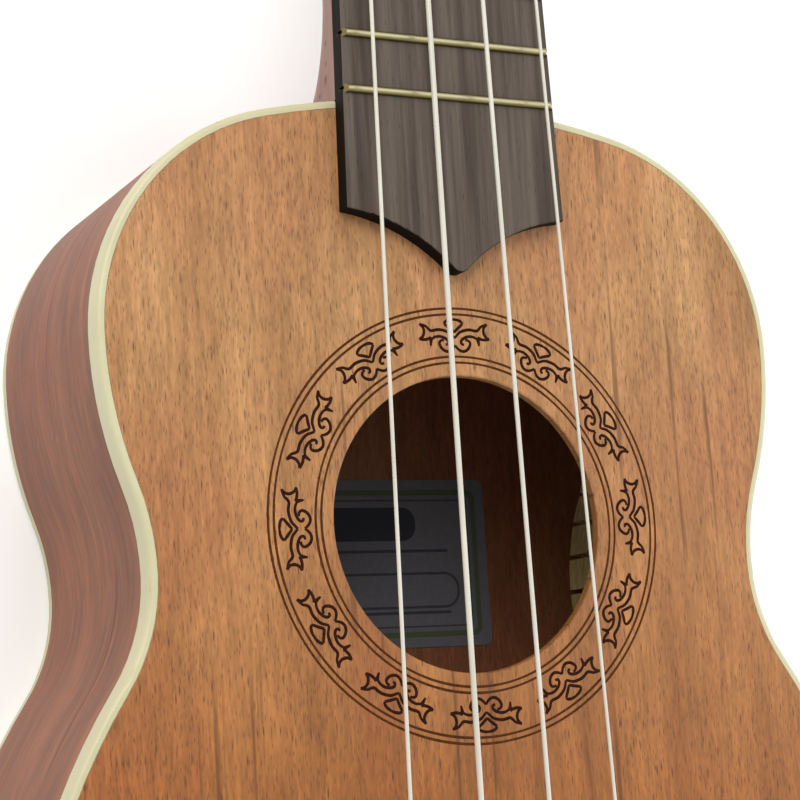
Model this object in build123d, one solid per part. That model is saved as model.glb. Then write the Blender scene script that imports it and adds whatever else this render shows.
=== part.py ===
from build123d import *
import os
from math import asin, atan2, cos, degrees, pi, radians, sin, sqrt, tan

# A soprano ukulele lying on its back. Millimetres, +Z out of the soundboard, +Y towards the headstock,
# +X towards the first string (A). The origin is the bottom centre of the whole instrument's box.

# ------------------------------------------------------------------ driving dimensions
OVERALL_LENGTH = 533.0      # tail of the body to tip of the headstock
SCALE = 346.0               # nut to twelfth fret, doubled
BODY_LENGTH = 240.0
BODY_DEPTH = 57.0           # outer face of the back to outer face of the soundboard
HOLE_RADIUS = 26.25
HOLE_ROUND = 0.3

# Body outline: half widths, and how far below the neck end of the body they lie
UPPER_HALF, UPPER_DOWN = 67.2, 44.0
WAIST_HALF, WAIST_DOWN = 59.8, 85.0
LOWER_HALF, LOWER_DOWN = 84.5, 165.0
HOLE_DOWN = 77.0
SHOULDER_RADIUS = 41.0
WAIST_UPPER_RADIUS = 43.0
WAIST_LOWER_RADIUS = 32.0
HIP_RADIUS = 62.0

PLATE = 1.8                 # soundboard and back
SIDE = 2.2
BINDING_WIDTH = 1.5         # on the face of the soundboard or back
TOP_BINDING_HEIGHT = 4.3
BACK_BINDING_HEIGHT = 2.6
BINDING_ROUND = 0.9
LINING_WIDTH, LINING_HEIGHT = 5.0, 7.0
KERF_STEP, KERF_GAP, KERF_WEB = 6.5, 1.0, 1.0

NUT_WIDTH, NUT_LENGTH = 35.0, 5.0
BOARD_WIDTH_AT_12 = 42.8
BOARD_THICKNESS = 3.3
BOARD_ROUND = 0.35
BOARD_CORNER_DOWN, BOARD_TIP_DOWN = 22.0, 32.5    # the V end over the soundboard
FRET_COUNT = 12
TWELFTH_FRET_DOWN = 0.3     # inside the edge of the body
FRET_WIDTH, FRET_CROWN = 1.5, 0.9
FRET_INSET = 0.3            # from each edge of the board
TANG_WIDTH, TANG_DEPTH = 0.6, 1.6

SHAFT_DEPTH_AT_NUT, SHAFT_DEPTH_AT_HEEL = 13.5, 15.0
NECK_DRAFT = 8.4            # degrees that the sides of neck and heel lean inwards
NECK_ROUND = 13.0           # radius along the underside of the shaft and down the heel
HEEL_BOTTOM = 3.0           # height of the heel cap above the back's outer face
HEEL_CURVE = 12.0           # radius from the underside of the shaft into the heel
HEEL_LENGTH, HEEL_CAP_LENGTH = 8.2, 7.0    # along Y, just below that curve and at the cap

HEAD_TILT = 12.0            # degrees
HEAD_THICKNESS = 13.0
HEAD_HALF = 25.0
HEAD_ROUND = 1.0

STRING_SPACING_AT_NUT = 9.2
STRING_SPACING_AT_SADDLE = 13.75
STRING_NAMES = ["g", "c", "e", "a"]
STRING_DIAMETERS = [0.70, 1.00, 0.82, 0.62]
NUT_STRING_HEIGHT = 5.4     # underside of the strings above the neck's top plane
SADDLE_STRING_HEIGHT = 9.4
RING_SWEEP = 305.0          # degrees that a string goes round its post, before the coil that turns

# Tuning machines: the worm lead and the tooth count set the gear's size
GEAR_TEETH = 14
WORM_LEAD = 2.0
WORM_PITCH_RADIUS = 2.2
POST_RADIUS = 3.0
RUNNING_FIT = 0.05          # radial
NEAR_POST, FAR_POST = 30.0, 70.0    # along the headstock from the nut
POST_SIDEWAYS = 15.5

# ------------------------------------------------------------------ derived places
TAIL_Y = -OVERALL_LENGTH / 2
NECK_END_Y = TAIL_Y + BODY_LENGTH
HOLE_Y = NECK_END_Y - HOLE_DOWN
NUT_Y = NECK_END_Y - TWELFTH_FRET_DOWN + SCALE / 2
NUT_BACK_Y = NUT_Y + NUT_LENGTH
SADDLE_Y = NUT_Y - SCALE - 1.5
INNER_TOP = BODY_DEPTH - PLATE
BOARD_TOP = BODY_DEPTH + BOARD_THICKNESS
HEAD_PLANE = Plane(
    origin=(0, NUT_BACK_Y, BODY_DEPTH),
    x_dir=(1, 0, 0),
    z_dir=(0, sin(radians(HEAD_TILT)), cos(radians(HEAD_TILT))),
)
TIP_ROUNDING = HEAD_ROUND * (cos(radians(HEAD_TILT)) + sin(radians(HEAD_TILT)) - 1)
HEAD_LENGTH = (OVERALL_LENGTH / 2 - NUT_BACK_Y + TIP_ROUNDING) / cos(radians(HEAD_TILT))
FAR = 400.0                 # larger than anything, for cutting blocks

parts = {}


# ------------------------------------------------------------------ shared shapes
def block(x0, x1, y0, y1, z0, z1):
    """A box from its two corners."""
    centre = ((x0 + x1) / 2, (y0 + y1) / 2, (z0 + z1) / 2)
    return Pos(*centre) * Box(x1 - x0, y1 - y0, z1 - z0)


def rod(radius, start, end):
    """A cylinder between two points."""
    start, end = Vector(start), Vector(end)
    line = end - start
    return Plane(origin=start + line * 0.5, z_dir=line.normalized()) * Cylinder(radius, line.length)


def prism(face, z0, z1):
    """A face drawn on XY, pulled up from z0 to z1."""
    return extrude(Pos(0, 0, z0) * face, amount=z1 - z0, dir=(0, 0, 1))


def sheet_prism(points, half_width):
    """A polygon drawn in the YZ plane, pulled both ways along X."""
    face = Plane.YZ * make_face(Polyline(*points, close=True))
    return extrude(face, amount=half_width, both=True)


# ------------------------------------------------------------------ body outline
def cap_circle(edge_y, side_x, side_y, side_radius):
    """Radius of the circle centred on X=0 through (0, edge_y) that holds a side circle inside it."""
    reach = abs(edge_y - side_y)
    return (reach**2 + side_x**2 - side_radius**2) / (2 * (reach - side_radius))


def half_arcs():
    """The right half of the outline, neck end to tail: centre, radius, start and end angle, bulge.

    Bulge is 1 where the outline is convex and -1 at the waist."""
    upper_y, waist_y, lower_y = (NECK_END_Y - down for down in (UPPER_DOWN, WAIST_DOWN, LOWER_DOWN))
    shoulder_x = UPPER_HALF - SHOULDER_RADIUS
    neck_radius = cap_circle(NECK_END_Y, shoulder_x, upper_y, SHOULDER_RADIUS)
    neck_centre = NECK_END_Y - neck_radius
    neck_angle = degrees(atan2(upper_y - neck_centre, shoulder_x))

    upper_rise, upper_run = UPPER_HALF - WAIST_HALF, upper_y - waist_y
    upper_turn = 2 * atan2(upper_rise, upper_run)
    upper_radius = upper_run / sin(upper_turn) - WAIST_UPPER_RADIUS
    lower_rise, lower_run = LOWER_HALF - WAIST_HALF, waist_y - lower_y
    lower_turn = 2 * atan2(lower_rise, lower_run)
    lower_radius = lower_run / sin(lower_turn) - WAIST_LOWER_RADIUS
    upper_turn, lower_turn = degrees(upper_turn), degrees(lower_turn)

    hip_x = LOWER_HALF - HIP_RADIUS
    tail_radius = cap_circle(TAIL_Y, hip_x, lower_y, HIP_RADIUS)
    tail_centre = TAIL_Y + tail_radius
    tail_angle = degrees(atan2(lower_y - tail_centre, hip_x))
    return [
        ((0, neck_centre), neck_radius, 90, neck_angle, 1),
        ((shoulder_x, upper_y), SHOULDER_RADIUS, neck_angle, 0, 1),
        ((UPPER_HALF - upper_radius, upper_y), upper_radius, 0, -upper_turn, 1),
        ((WAIST_HALF + WAIST_UPPER_RADIUS, waist_y), WAIST_UPPER_RADIUS, 180 - upper_turn, 180, -1),
        ((WAIST_HALF + WAIST_LOWER_RADIUS, waist_y), WAIST_LOWER_RADIUS, 180, 180 + lower_turn, -1),
        ((LOWER_HALF - lower_radius, lower_y), lower_radius, lower_turn, 0, 1),
        ((hip_x, lower_y), HIP_RADIUS, 0, tail_angle, 1),
        ((0, tail_centre), tail_radius, tail_angle, -90, 1),
    ]


def arc(centre, radius, start, end):
    """A circular arc from its centre, radius and two angles in degrees."""
    def spot(angle):
        return centre[0] + radius * cos(radians(angle)), centre[1] + radius * sin(radians(angle))
    return ThreePointArc(spot(start), spot((start + end) / 2), spot(end))


def half_wire(inset):
    """The right half of the outline, moved inwards by inset."""
    return Wire([
        arc(centre, radius - bulge * inset, start, end)
        for centre, radius, start, end, bulge in half_arcs()
    ])


def slab(inset, z0, z1):
    """The whole outline, moved inwards by inset, as a plate from z0 to z1."""
    half = half_wire(inset)
    edges = list(half.edges()) + list(mirror(half, about=Plane.YZ).edges())
    return prism(make_face(edges), z0, z1)


def ring(outer_inset, inner_inset, z0, z1):
    """A wall that follows the outline, between two insets."""
    return slab(outer_inset, z0, z1) - slab(inner_inset, z0, z1)


def half_width(y, inset):
    """Half the width inside the outline at a height along Y, measured at an inset."""
    for (cx, cy), radius, start, end, bulge in half_arcs():
        reach = radius - bulge * inset
        low, high = sorted((cy + reach * sin(radians(start)), cy + reach * sin(radians(end))))
        if low <= y <= high:
            return cx + bulge * sqrt(reach**2 - (y - cy) ** 2)
    raise ValueError(f"no outline at y={y}")


def on_side(shape, side):
    """The half of a shape on one side of X=0: side is 1 for treble, -1 for bass."""
    return shape & Pos(side * FAR / 2, 0, 0) * Box(FAR, 2 * FAR, 2 * FAR)


# ------------------------------------------------------------------ body
NECK_BLOCK_DEPTH, NECK_BLOCK_HALF = 22.0, 27.0
TAIL_BLOCK_DEPTH, TAIL_BLOCK_HALF = 13.0, 26.0
DOWEL_RADIUS, DOWEL_HEIGHTS = 3.5, (20.0, 38.0)
DOWEL_Y = (NECK_END_Y - 17.0, NECK_END_Y + 5.5)
BRACE_WIDTH, BRACE_HEIGHT, BRACE_TIP = 6.0, 8.0, 2.5


def make_plates():
    """Soundboard with its hole, and the back."""
    hole = Pos(0, HOLE_Y, INNER_TOP) * Cylinder(HOLE_RADIUS, 4 * PLATE)
    top = slab(BINDING_WIDTH, INNER_TOP, BODY_DEPTH) - hole
    rim = top.faces().sort_by(Axis.Z)[-1].edges().filter_by(GeomType.CIRCLE).sort_by(SortBy.RADIUS)[0]
    parts["top_plate"] = fillet(rim, HOLE_ROUND)
    parts["back_plate"] = slab(BINDING_WIDTH, 0, PLATE)


def make_bindings():
    """Edge strips let into the corner between each plate and the sides, rounded on the outside."""
    top = ring(0, BINDING_WIDTH, BODY_DEPTH - TOP_BINDING_HEIGHT, BODY_DEPTH)
    back = ring(0, BINDING_WIDTH, 0, BACK_BINDING_HEIGHT)
    top_face = top.faces().sort_by(Axis.Z)[-1]
    back_face = back.faces().sort_by(Axis.Z)[0]
    parts["top_binding"] = fillet(top_face.outer_wire().edges(), BINDING_ROUND)
    parts["back_binding"] = fillet(back_face.outer_wire().edges(), BINDING_ROUND)


def dowel_bores():
    """Two bores along Y through heel, side and neck block."""
    return [rod(DOWEL_RADIUS, (0, DOWEL_Y[0], z), (0, DOWEL_Y[1], z)) for z in DOWEL_HEIGHTS]


def make_sides():
    """Two bent sides that meet at the neck end and the tail, with rebates for both bindings."""
    wall = ring(0, SIDE, PLATE, INNER_TOP)
    wall -= ring(-1, BINDING_WIDTH, BODY_DEPTH - TOP_BINDING_HEIGHT, BODY_DEPTH)
    wall -= ring(-1, BINDING_WIDTH, 0, BACK_BINDING_HEIGHT)
    wall -= dowel_bores()
    parts["side_treble"] = on_side(wall, 1)
    parts["side_bass"] = on_side(wall, -1)


def make_blocks():
    """Solid blocks inside both ends."""
    inner = slab(SIDE, PLATE, INNER_TOP)
    neck_cut = block(-NECK_BLOCK_HALF, NECK_BLOCK_HALF, NECK_END_Y - NECK_BLOCK_DEPTH, NECK_END_Y, 0, BODY_DEPTH)
    tail_cut = block(-TAIL_BLOCK_HALF, TAIL_BLOCK_HALF, TAIL_Y, TAIL_Y + TAIL_BLOCK_DEPTH, 0, BODY_DEPTH)
    parts["neck_block"] = (inner & neck_cut) - dowel_bores()
    parts["tail_block"] = inner & tail_cut
    parts["neck_dowels"] = Compound(dowel_bores())


def kerfs(z0, z1):
    """Slots across the linings on the right half, evenly spaced along the side."""
    path = half_wire(SIDE)
    slots = []
    for number in range(1, int(path.length / KERF_STEP)):
        share = number * KERF_STEP / path.length
        spot, along = path @ share, path % share
        inwards = Vector(along.Y, -along.X, 0)
        middle = Vector(spot.X, spot.Y, (z0 + z1) / 2) + inwards * (KERF_WEB + LINING_WIDTH)
        place = Plane(origin=middle, x_dir=along, z_dir=(0, 0, 1))
        slots.append(place * Box(KERF_GAP, 2 * LINING_WIDTH, z1 - z0 + 2))
    return slots


def make_linings():
    """Kerfed strips that widen the glue joint between the sides and both plates."""
    neck_gap = block(-NECK_BLOCK_HALF, NECK_BLOCK_HALF, NECK_END_Y - 60, NECK_END_Y + 5, 0, BODY_DEPTH)
    tail_gap = block(-TAIL_BLOCK_HALF, TAIL_BLOCK_HALF, TAIL_Y - 5, TAIL_Y + 60, 0, BODY_DEPTH)
    levels = {"top": (INNER_TOP - LINING_HEIGHT, INNER_TOP), "back": (PLATE, PLATE + LINING_HEIGHT)}
    for level, (z0, z1) in levels.items():
        strip = on_side(ring(SIDE, SIDE + LINING_WIDTH, z0, z1), 1) - [neck_gap, tail_gap]
        strip -= kerfs(z0, z1)
        parts[f"{level}_lining_treble"] = strip
        parts[f"{level}_lining_bass"] = mirror(strip, about=Plane.YZ)


def brace(y, plate_z, upwards):
    """A bar across the body that tapers to its ends; upwards is 1 on the back and -1 on the soundboard."""
    half = min(half_width(y + dy, SIDE + LINING_WIDTH) for dy in (-BRACE_WIDTH / 2, 0, BRACE_WIDTH / 2)) - 0.3
    taper = 0.35 * half
    tall, low = plate_z + upwards * BRACE_HEIGHT, plate_z + upwards * BRACE_TIP
    profile = Polyline((-half, plate_z), (half, plate_z), (half, low), (half - taper, tall),
                       (taper - half, tall), (-half, low), close=True)
    face = Plane(origin=(0, y, 0), x_dir=(1, 0, 0), z_dir=(0, -1, 0)) * make_face(profile)
    return extrude(face, amount=BRACE_WIDTH / 2, both=True)


def make_braces():
    """Bars under the soundboard and on the back, and the plate under the bridge."""
    parts["top_brace_upper"] = brace(HOLE_Y + HOLE_RADIUS + 10, INNER_TOP, -1)
    parts["top_brace_lower"] = brace(HOLE_Y - HOLE_RADIUS - 10, INNER_TOP, -1)
    parts["back_brace_upper"] = brace(HOLE_Y + 44, PLATE, 1)
    parts["back_brace_lower"] = brace(SADDLE_Y + 12, PLATE, 1)
    patch = block(-45, 45, SADDLE_Y - 16, SADDLE_Y + 12, INNER_TOP - 2.5, INNER_TOP)
    parts["bridge_patch"] = chamfer(patch.edges().filter_by(Axis.Z), 4)


def make_label():
    """A paper label glued to the inside of the back, seen through the hole."""
    face = Pos(8, HOLE_Y - 2, 0) * RectangleRounded(50, 34, 1.5)
    parts["label"] = prism(face, PLATE, PLATE + 0.2)


# ------------------------------------------------------------------ neck
def board_half(y):
    """Half the width of neck and fretboard at a place along Y."""
    share = (NUT_Y - y) / (SCALE / 2)
    return (NUT_WIDTH + (BOARD_WIDTH_AT_12 - NUT_WIDTH) * share) / 2


def blank_section(y):
    """A section across the neck's blank: as wide as the fretboard on top, leaning in down to the heel cap."""
    top = board_half(y)
    bottom = top - (BODY_DEPTH - HEEL_BOTTOM) * tan(radians(NECK_DRAFT))
    place = Plane(origin=(0, y, 0), x_dir=(1, 0, 0), z_dir=(0, -1, 0))
    return place * make_face(Polyline((-top, BODY_DEPTH), (top, BODY_DEPTH), (bottom, HEEL_BOTTOM),
                                      (-bottom, HEEL_BOTTOM), close=True))


def make_shaft():
    """Shaft and heel, sawn to their side profile and rounded underneath. The inner end lies in the body."""
    inner_y = NECK_END_Y - 25
    corner = (NECK_END_Y + HEEL_LENGTH, BODY_DEPTH - SHAFT_DEPTH_AT_HEEL)
    profile = make_face(Polyline(
        (inner_y, BODY_DEPTH), (NUT_BACK_Y, BODY_DEPTH), (NUT_BACK_Y, BODY_DEPTH - SHAFT_DEPTH_AT_NUT),
        corner, (NECK_END_Y + HEEL_CAP_LENGTH, HEEL_BOTTOM), (inner_y, HEEL_BOTTOM), close=True))
    inside_corner = profile.vertices().sort_by_distance((*corner, 0))[0]
    profile = fillet(inside_corner, HEEL_CURVE)
    sawn = extrude(Plane.YZ * profile, amount=40, both=True)
    blank = loft([blank_section(inner_y), blank_section(NUT_BACK_Y)], ruled=True) & sawn
    underneath = [
        edge for edge in blank.edges()
        if abs((edge @ 0.5).X) > 5 and HEEL_BOTTOM + 1 < (edge @ 0.5).Z < BODY_DEPTH - 8
        and inner_y + 1 < (edge @ 0.5).Y < NUT_BACK_Y - 1
    ]
    return fillet(underneath, NECK_ROUND)


def head_outline():
    """The headstock's face, drawn on its own plane: X across, Y away from the nut."""
    tip = HEAD_LENGTH
    half = NUT_WIDTH / 2
    right = [
        Spline((half, 0), (half + 1.2, 6), (HEAD_HALF, 22), tangents=[(0, 1), (0.25, 1)]),
        Spline((HEAD_HALF, 22), (HEAD_HALF - 1.2, 60), (HEAD_HALF + 0.6, tip - 16),
               tangents=[(0.25, 1), (0.1, 1)]),
        Spline((HEAD_HALF + 0.6, tip - 16), (13, tip - 5.5), (0, tip), tangents=[(-0.5, 1), (-1, 0)]),
    ]
    left = [mirror(edge, about=Plane.YZ) for edge in right]
    bottom = Line((-half, 0), (half, 0))
    return make_face([bottom] + right + left)


def post_spots():
    """Name, side, and place of each post on the headstock's plane."""
    return [
        ("g", -1, NEAR_POST), ("c", -1, FAR_POST),
        ("e", 1, FAR_POST), ("a", 1, NEAR_POST),
    ]


BUSHING_RADIUS = 4.0
SCREW_RADIUS, SCREW_LENGTH = 0.9, 7.0
PLATE_SCREW_SPOTS = [(0.0, -9.5), (0.0, 13.5)]    # along the headstock, from the post


def make_neck():
    """Shaft, heel and tilted headstock as one piece, with the machine bores and dowel bores."""
    head = HEAD_PLANE * extrude(head_outline(), amount=-HEAD_THICKNESS)
    faces = head.faces().filter_by(Axis(HEAD_PLANE.origin, HEAD_PLANE.z_dir))
    rims = [e for face in faces for e in face.edges() if (e @ 0.5).Y > NUT_BACK_Y + 1]
    head = fillet(rims, HEAD_ROUND)
    neck = make_shaft() + head
    neck -= slab(0, -10, BODY_DEPTH + 10)
    neck -= dowel_bores()
    for name, side, along in post_spots():
        place = HEAD_PLANE * Pos(side * POST_SIDEWAYS, along, 0)
        neck -= place * Cylinder(BUSHING_RADIUS, 3 * HEAD_THICKNESS)
        for sx, sy in PLATE_SCREW_SPOTS:
            pilot = Pos(sx, sy, -HEAD_THICKNESS + SCREW_LENGTH / 2) * Cylinder(SCREW_RADIUS, SCREW_LENGTH + 2)
            neck -= place * pilot
    parts["neck"] = neck


def fret_y(number):
    """Where a fret lies, by the twelfth-root rule."""
    return NUT_Y - SCALE * (1 - 2 ** (-number / 12))


def make_fretboard():
    """The board: a tapered plate with fret slots, dot pockets, and a V end with hollow flanks."""
    corner_y, tip_y = NECK_END_Y - BOARD_CORNER_DOWN, NECK_END_Y - BOARD_TIP_DOWN
    corner, top = board_half(corner_y), board_half(NUT_Y)
    blunt = 1.4
    flank = [
        ThreePointArc((side * corner, corner_y), (side * 0.56 * corner, corner_y - 2.6),
                      (side * blunt, tip_y + 0.6))
        for side in (1, -1)
    ]
    edges = [
        Line((-top, NUT_Y), (top, NUT_Y)),
        Line((top, NUT_Y), (corner, corner_y)),
        flank[0],
        ThreePointArc((blunt, tip_y + 0.6), (0, tip_y), (-blunt, tip_y + 0.6)),
        flank[1],
        Line((-corner, corner_y), (-top, NUT_Y)),
    ]
    board = prism(make_face(edges), BODY_DEPTH, BOARD_TOP)
    rim = board.faces().sort_by(Axis.Z)[-1].edges().sort_by(Axis.Y)[:-1]
    board = fillet(rim, BOARD_ROUND)
    frets, slots, pockets, dots = [], [], [], []
    for number in range(1, FRET_COUNT + 1):
        y = fret_y(number)
        edge = board_half(y) + 1
        slots.append(block(-edge, edge, y - TANG_WIDTH / 2, y + TANG_WIDTH / 2,
                           BOARD_TOP - TANG_DEPTH, BOARD_TOP + 1))
        frets.append(fret_wire(y, board_half(y) - FRET_INSET))
    for number in (5, 7, 10):
        y = (fret_y(number) + fret_y(number - 1)) / 2
        pockets.append(Pos(0, y, BOARD_TOP) * Cylinder(2.5, 2.4))
        dots.append(Pos(0, y, BOARD_TOP - 0.6) * Cylinder(2.5, 1.2))
    parts["fretboard"] = board - slots - pockets
    parts["frets"] = Compound(frets)
    parts["fret_markers"] = Compound(dots)


def fret_wire(y, half):
    """One fret: a domed crown over a flat tang, with its ends sloped."""
    bottom = BOARD_TOP - TANG_DEPTH
    place = Plane(origin=(0, y, 0), x_dir=(0, 1, 0), z_dir=(1, 0, 0))
    crown = make_face([
        Line((-FRET_WIDTH / 2, BOARD_TOP), (FRET_WIDTH / 2, BOARD_TOP)),
        ThreePointArc((FRET_WIDTH / 2, BOARD_TOP), (0, BOARD_TOP + FRET_CROWN), (-FRET_WIDTH / 2, BOARD_TOP)),
    ])
    bar = extrude(place * crown, amount=half, both=True)
    for side in (1, -1):
        wedge = Polyline((side * half, BOARD_TOP), (side * (half - 0.6), BOARD_TOP + FRET_CROWN + 0.1),
                         (side * (half + 1), BOARD_TOP + FRET_CROWN + 0.1), (side * (half + 1), BOARD_TOP),
                         close=True)
        bar -= extrude(Plane(origin=(0, y, 0), x_dir=(1, 0, 0), z_dir=(0, -1, 0)) * make_face(wedge),
                       amount=FRET_WIDTH, both=True)
    tang = block(-half + 0.2, half - 0.2, y - TANG_WIDTH / 2, y + TANG_WIDTH / 2, bottom, BOARD_TOP)
    return (bar + tang).solids()[0]


def make_nut():
    """The nut: a rounded block with a slot for each string."""
    top = BODY_DEPTH + NUT_STRING_HEIGHT + 1.1
    half = board_half(NUT_Y)
    profile = [(NUT_Y, BODY_DEPTH), (NUT_BACK_Y, BODY_DEPTH), (NUT_BACK_Y, top - 2.2),
               (NUT_BACK_Y - 1.2, top - 0.7), (NUT_Y + 1.6, top), (NUT_Y, top)]
    nut = sheet_prism(profile, half)
    for x, diameter in zip(string_places(STRING_SPACING_AT_NUT), STRING_DIAMETERS):
        seat = BODY_DEPTH + NUT_STRING_HEIGHT + diameter / 2
        open_half = diameter / 2 + 0.15
        nut -= block(x - open_half, x + open_half, NUT_Y - 1, NUT_BACK_Y + 1, seat, top + 1)
    parts["nut"] = nut - string_solids()


# ------------------------------------------------------------------ bridge
BRIDGE_HALF, BRIDGE_CENTRE_HALF = 40.0, 30.0
BRIDGE_FRONT, BRIDGE_BACK = 7.0, 14.0
BRIDGE_TOP, CHANNEL_FLOOR, WING_TOP = 7.2, 3.4, 3.2
TIE_FRONT = 6.0             # front face of the tie block, behind the saddle's middle
TIE_HOLE_HEIGHT, TIE_HOLE_RADIUS = 4.8, 0.9
SADDLE_WIDTH, SADDLE_SLOT_DEPTH, SADDLE_HALF = 2.4, 4.6, 27.0


def make_bridge():
    """A tie bridge: saddle ridge, channel, drilled tie block and two thin wings."""
    z0 = BODY_DEPTH
    y0 = SADDLE_Y
    profile = [
        (y0 + BRIDGE_FRONT, z0), (y0 + BRIDGE_FRONT, z0 + 3.0), (y0 + 4.0, z0 + BRIDGE_TOP - 0.6),
        (y0 + 2.6, z0 + BRIDGE_TOP), (y0 - 2.0, z0 + BRIDGE_TOP), (y0 - 3.6, z0 + CHANNEL_FLOOR),
        (y0 - TIE_FRONT, z0 + CHANNEL_FLOOR), (y0 - TIE_FRONT, z0 + BRIDGE_TOP),
        (y0 - BRIDGE_BACK + 1.6, z0 + BRIDGE_TOP), (y0 - BRIDGE_BACK + 1.6, z0 + 3.0),
        (y0 - BRIDGE_BACK, z0 + 2.4), (y0 - BRIDGE_BACK, z0),
    ]
    centre = sheet_prism(profile, BRIDGE_CENTRE_HALF)
    ends = [e for e in centre.edges() if abs(abs((e @ 0.5).X) - BRIDGE_CENTRE_HALF) < 0.01
            and (e @ 0.5).Z > z0 + CHANNEL_FLOOR + 0.1]
    centre = fillet(ends, 0.6)
    wing_profile = [
        (y0 + BRIDGE_FRONT, z0), (y0 + BRIDGE_FRONT, z0 + 1.6), (y0 + BRIDGE_FRONT - 3, z0 + WING_TOP),
        (y0 - BRIDGE_BACK + 3, z0 + WING_TOP), (y0 - BRIDGE_BACK, z0 + 1.6), (y0 - BRIDGE_BACK, z0),
    ]
    wings = sheet_prism(wing_profile, BRIDGE_HALF)
    corners = [e for e in wings.edges().filter_by(Axis.Z)]
    bridge = centre + fillet(corners, 2.0)
    bridge -= block(-SADDLE_HALF, SADDLE_HALF, y0 - SADDLE_WIDTH / 2, y0 + SADDLE_WIDTH / 2,
                    z0 + BRIDGE_TOP - SADDLE_SLOT_DEPTH, z0 + BRIDGE_TOP + 1)
    for x in string_places(STRING_SPACING_AT_SADDLE):
        bridge -= rod(TIE_HOLE_RADIUS, (x, y0 - TIE_FRONT + 1, z0 + TIE_HOLE_HEIGHT),
                      (x, y0 - BRIDGE_BACK - 1, z0 + TIE_HOLE_HEIGHT))
    parts["bridge"] = bridge


def make_saddle():
    """The saddle: a thin bar with a rounded top that the strings rest on."""
    bottom = BODY_DEPTH + BRIDGE_TOP - SADDLE_SLOT_DEPTH
    top = BODY_DEPTH + SADDLE_STRING_HEIGHT
    bar = block(-SADDLE_HALF, SADDLE_HALF, SADDLE_Y - SADDLE_WIDTH / 2, SADDLE_Y + SADDLE_WIDTH / 2, bottom, top)
    edges = bar.edges().group_by(Axis.Z)[-1].filter_by(Axis.X)
    parts["saddle"] = fillet(edges, 0.9) - string_solids()


# ------------------------------------------------------------------ strings
def string_places(spacing):
    """X of each string where their spacing is known."""
    return [(number - 1.5) * spacing for number in range(4)]


def string_solids():
    """The four strings, to cut their own grooves."""
    return [parts[f"string_{name}"] for name in STRING_NAMES]


def string_route(number):
    """Tie loop, saddle, nut and post tangent of a string, and the ring that it makes round its post."""
    diameter = STRING_DIAMETERS[number]
    x = string_places(STRING_SPACING_AT_SADDLE)[number]
    nut_x = string_places(STRING_SPACING_AT_NUT)[number]
    z0, y0, radius = BODY_DEPTH, SADDLE_Y, diameter / 2
    beside = 1.3
    over = z0 + BRIDGE_TOP + radius + 0.1
    behind = y0 - BRIDGE_BACK + 1.6 - radius - 0.5
    front = y0 - TIE_FRONT + radius + 0.3
    hole = z0 + TIE_HOLE_HEIGHT
    points = [
        (x + beside, front, z0 + CHANNEL_FLOOR + radius + 0.2),
        (x + beside, front, over),
        (x + 0.4, behind, over),
        (x, behind, hole),
        (x, y0 - TIE_FRONT + 0.3, hole),
        (x, y0 - 0.3, z0 + SADDLE_STRING_HEIGHT + radius + 0.12),
    ]
    bend_y = NUT_Y + 2.5
    nut_point = Vector(nut_x, bend_y, z0 + NUT_STRING_HEIGHT + radius + 0.03)
    local = HEAD_PLANE.to_local_coords(nut_point)
    name = STRING_NAMES[number]
    side, along = next((s, a) for n, s, a in post_spots() if n == name)
    centre = Vector(side * POST_SIDEWAYS, along, 0)
    ring_radius = POST_RADIUS + RUNNING_FIT + 0.02 + radius
    gap = Vector(centre.X - local.X, centre.Y - local.Y, 0)
    turn = side * degrees(asin(ring_radius / gap.length))
    heading = gap.normalized().rotate(Axis.Z, turn)
    tangent = Vector(local.X, local.Y, 0) + heading * sqrt(gap.length**2 - ring_radius**2)
    start = degrees(atan2(tangent.Y - centre.Y, tangent.X - centre.X))
    touch = HEAD_PLANE.from_local_coords(Vector(tangent.X, tangent.Y, local.Z))
    turn_ring = CenterArc((0, 0), ring_radius, start, -side * RING_SWEEP)
    turn_ring = HEAD_PLANE * Pos(centre.X, centre.Y, local.Z) * turn_ring
    return points + [tuple(nut_point), tuple(touch)], turn_ring, local.Z


def make_strings():
    """Each string as one piece, and the coil that sits on its post and turns with it."""
    for number, name in enumerate(STRING_NAMES):
        radius = STRING_DIAMETERS[number] / 2
        points, turn_ring, height = string_route(number)
        radii = [0.9, 0.9, 0.9, 1.2, 1.5, 12.0]
        line = FilletPolyline(*points, radius=radii)
        path = Wire(list(line.edges()) + list(turn_ring.edges()))
        section = Plane(origin=path @ 0, z_dir=path % 0) * Circle(radius)
        parts[f"string_{name}"] = sweep(section, path=path)
        length, volume = path.length, parts[f"string_{name}"].volume
        print(f"string_{name}: length {length:.1f} mm, volume over section x length "
              f"{volume / (pi * radius**2 * length):.4f}")
        parts[f"winding_{name}"] = winding(name, radius, height)


def winding(name, radius, height):
    """Two turns above the string's own ring, and the end that goes through the post."""
    side, along = next((s, a) for n, s, a in post_spots() if n == name)
    place = HEAD_PLANE * Pos(side * POST_SIDEWAYS, along, 0)
    coil_radius = POST_RADIUS + 0.02 + radius
    turns = [
        place * Pos(0, 0, height + (2 * radius + 0.06) * turn) * Torus(coil_radius, radius)
        for turn in (1, 2)
    ]
    end = rod(radius, (-POST_RADIUS - 1.2, 0, STRING_HOLE_HEIGHT), (POST_RADIUS + 2.5, 0, STRING_HOLE_HEIGHT))
    return Compound(turns + [place * end])


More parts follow.
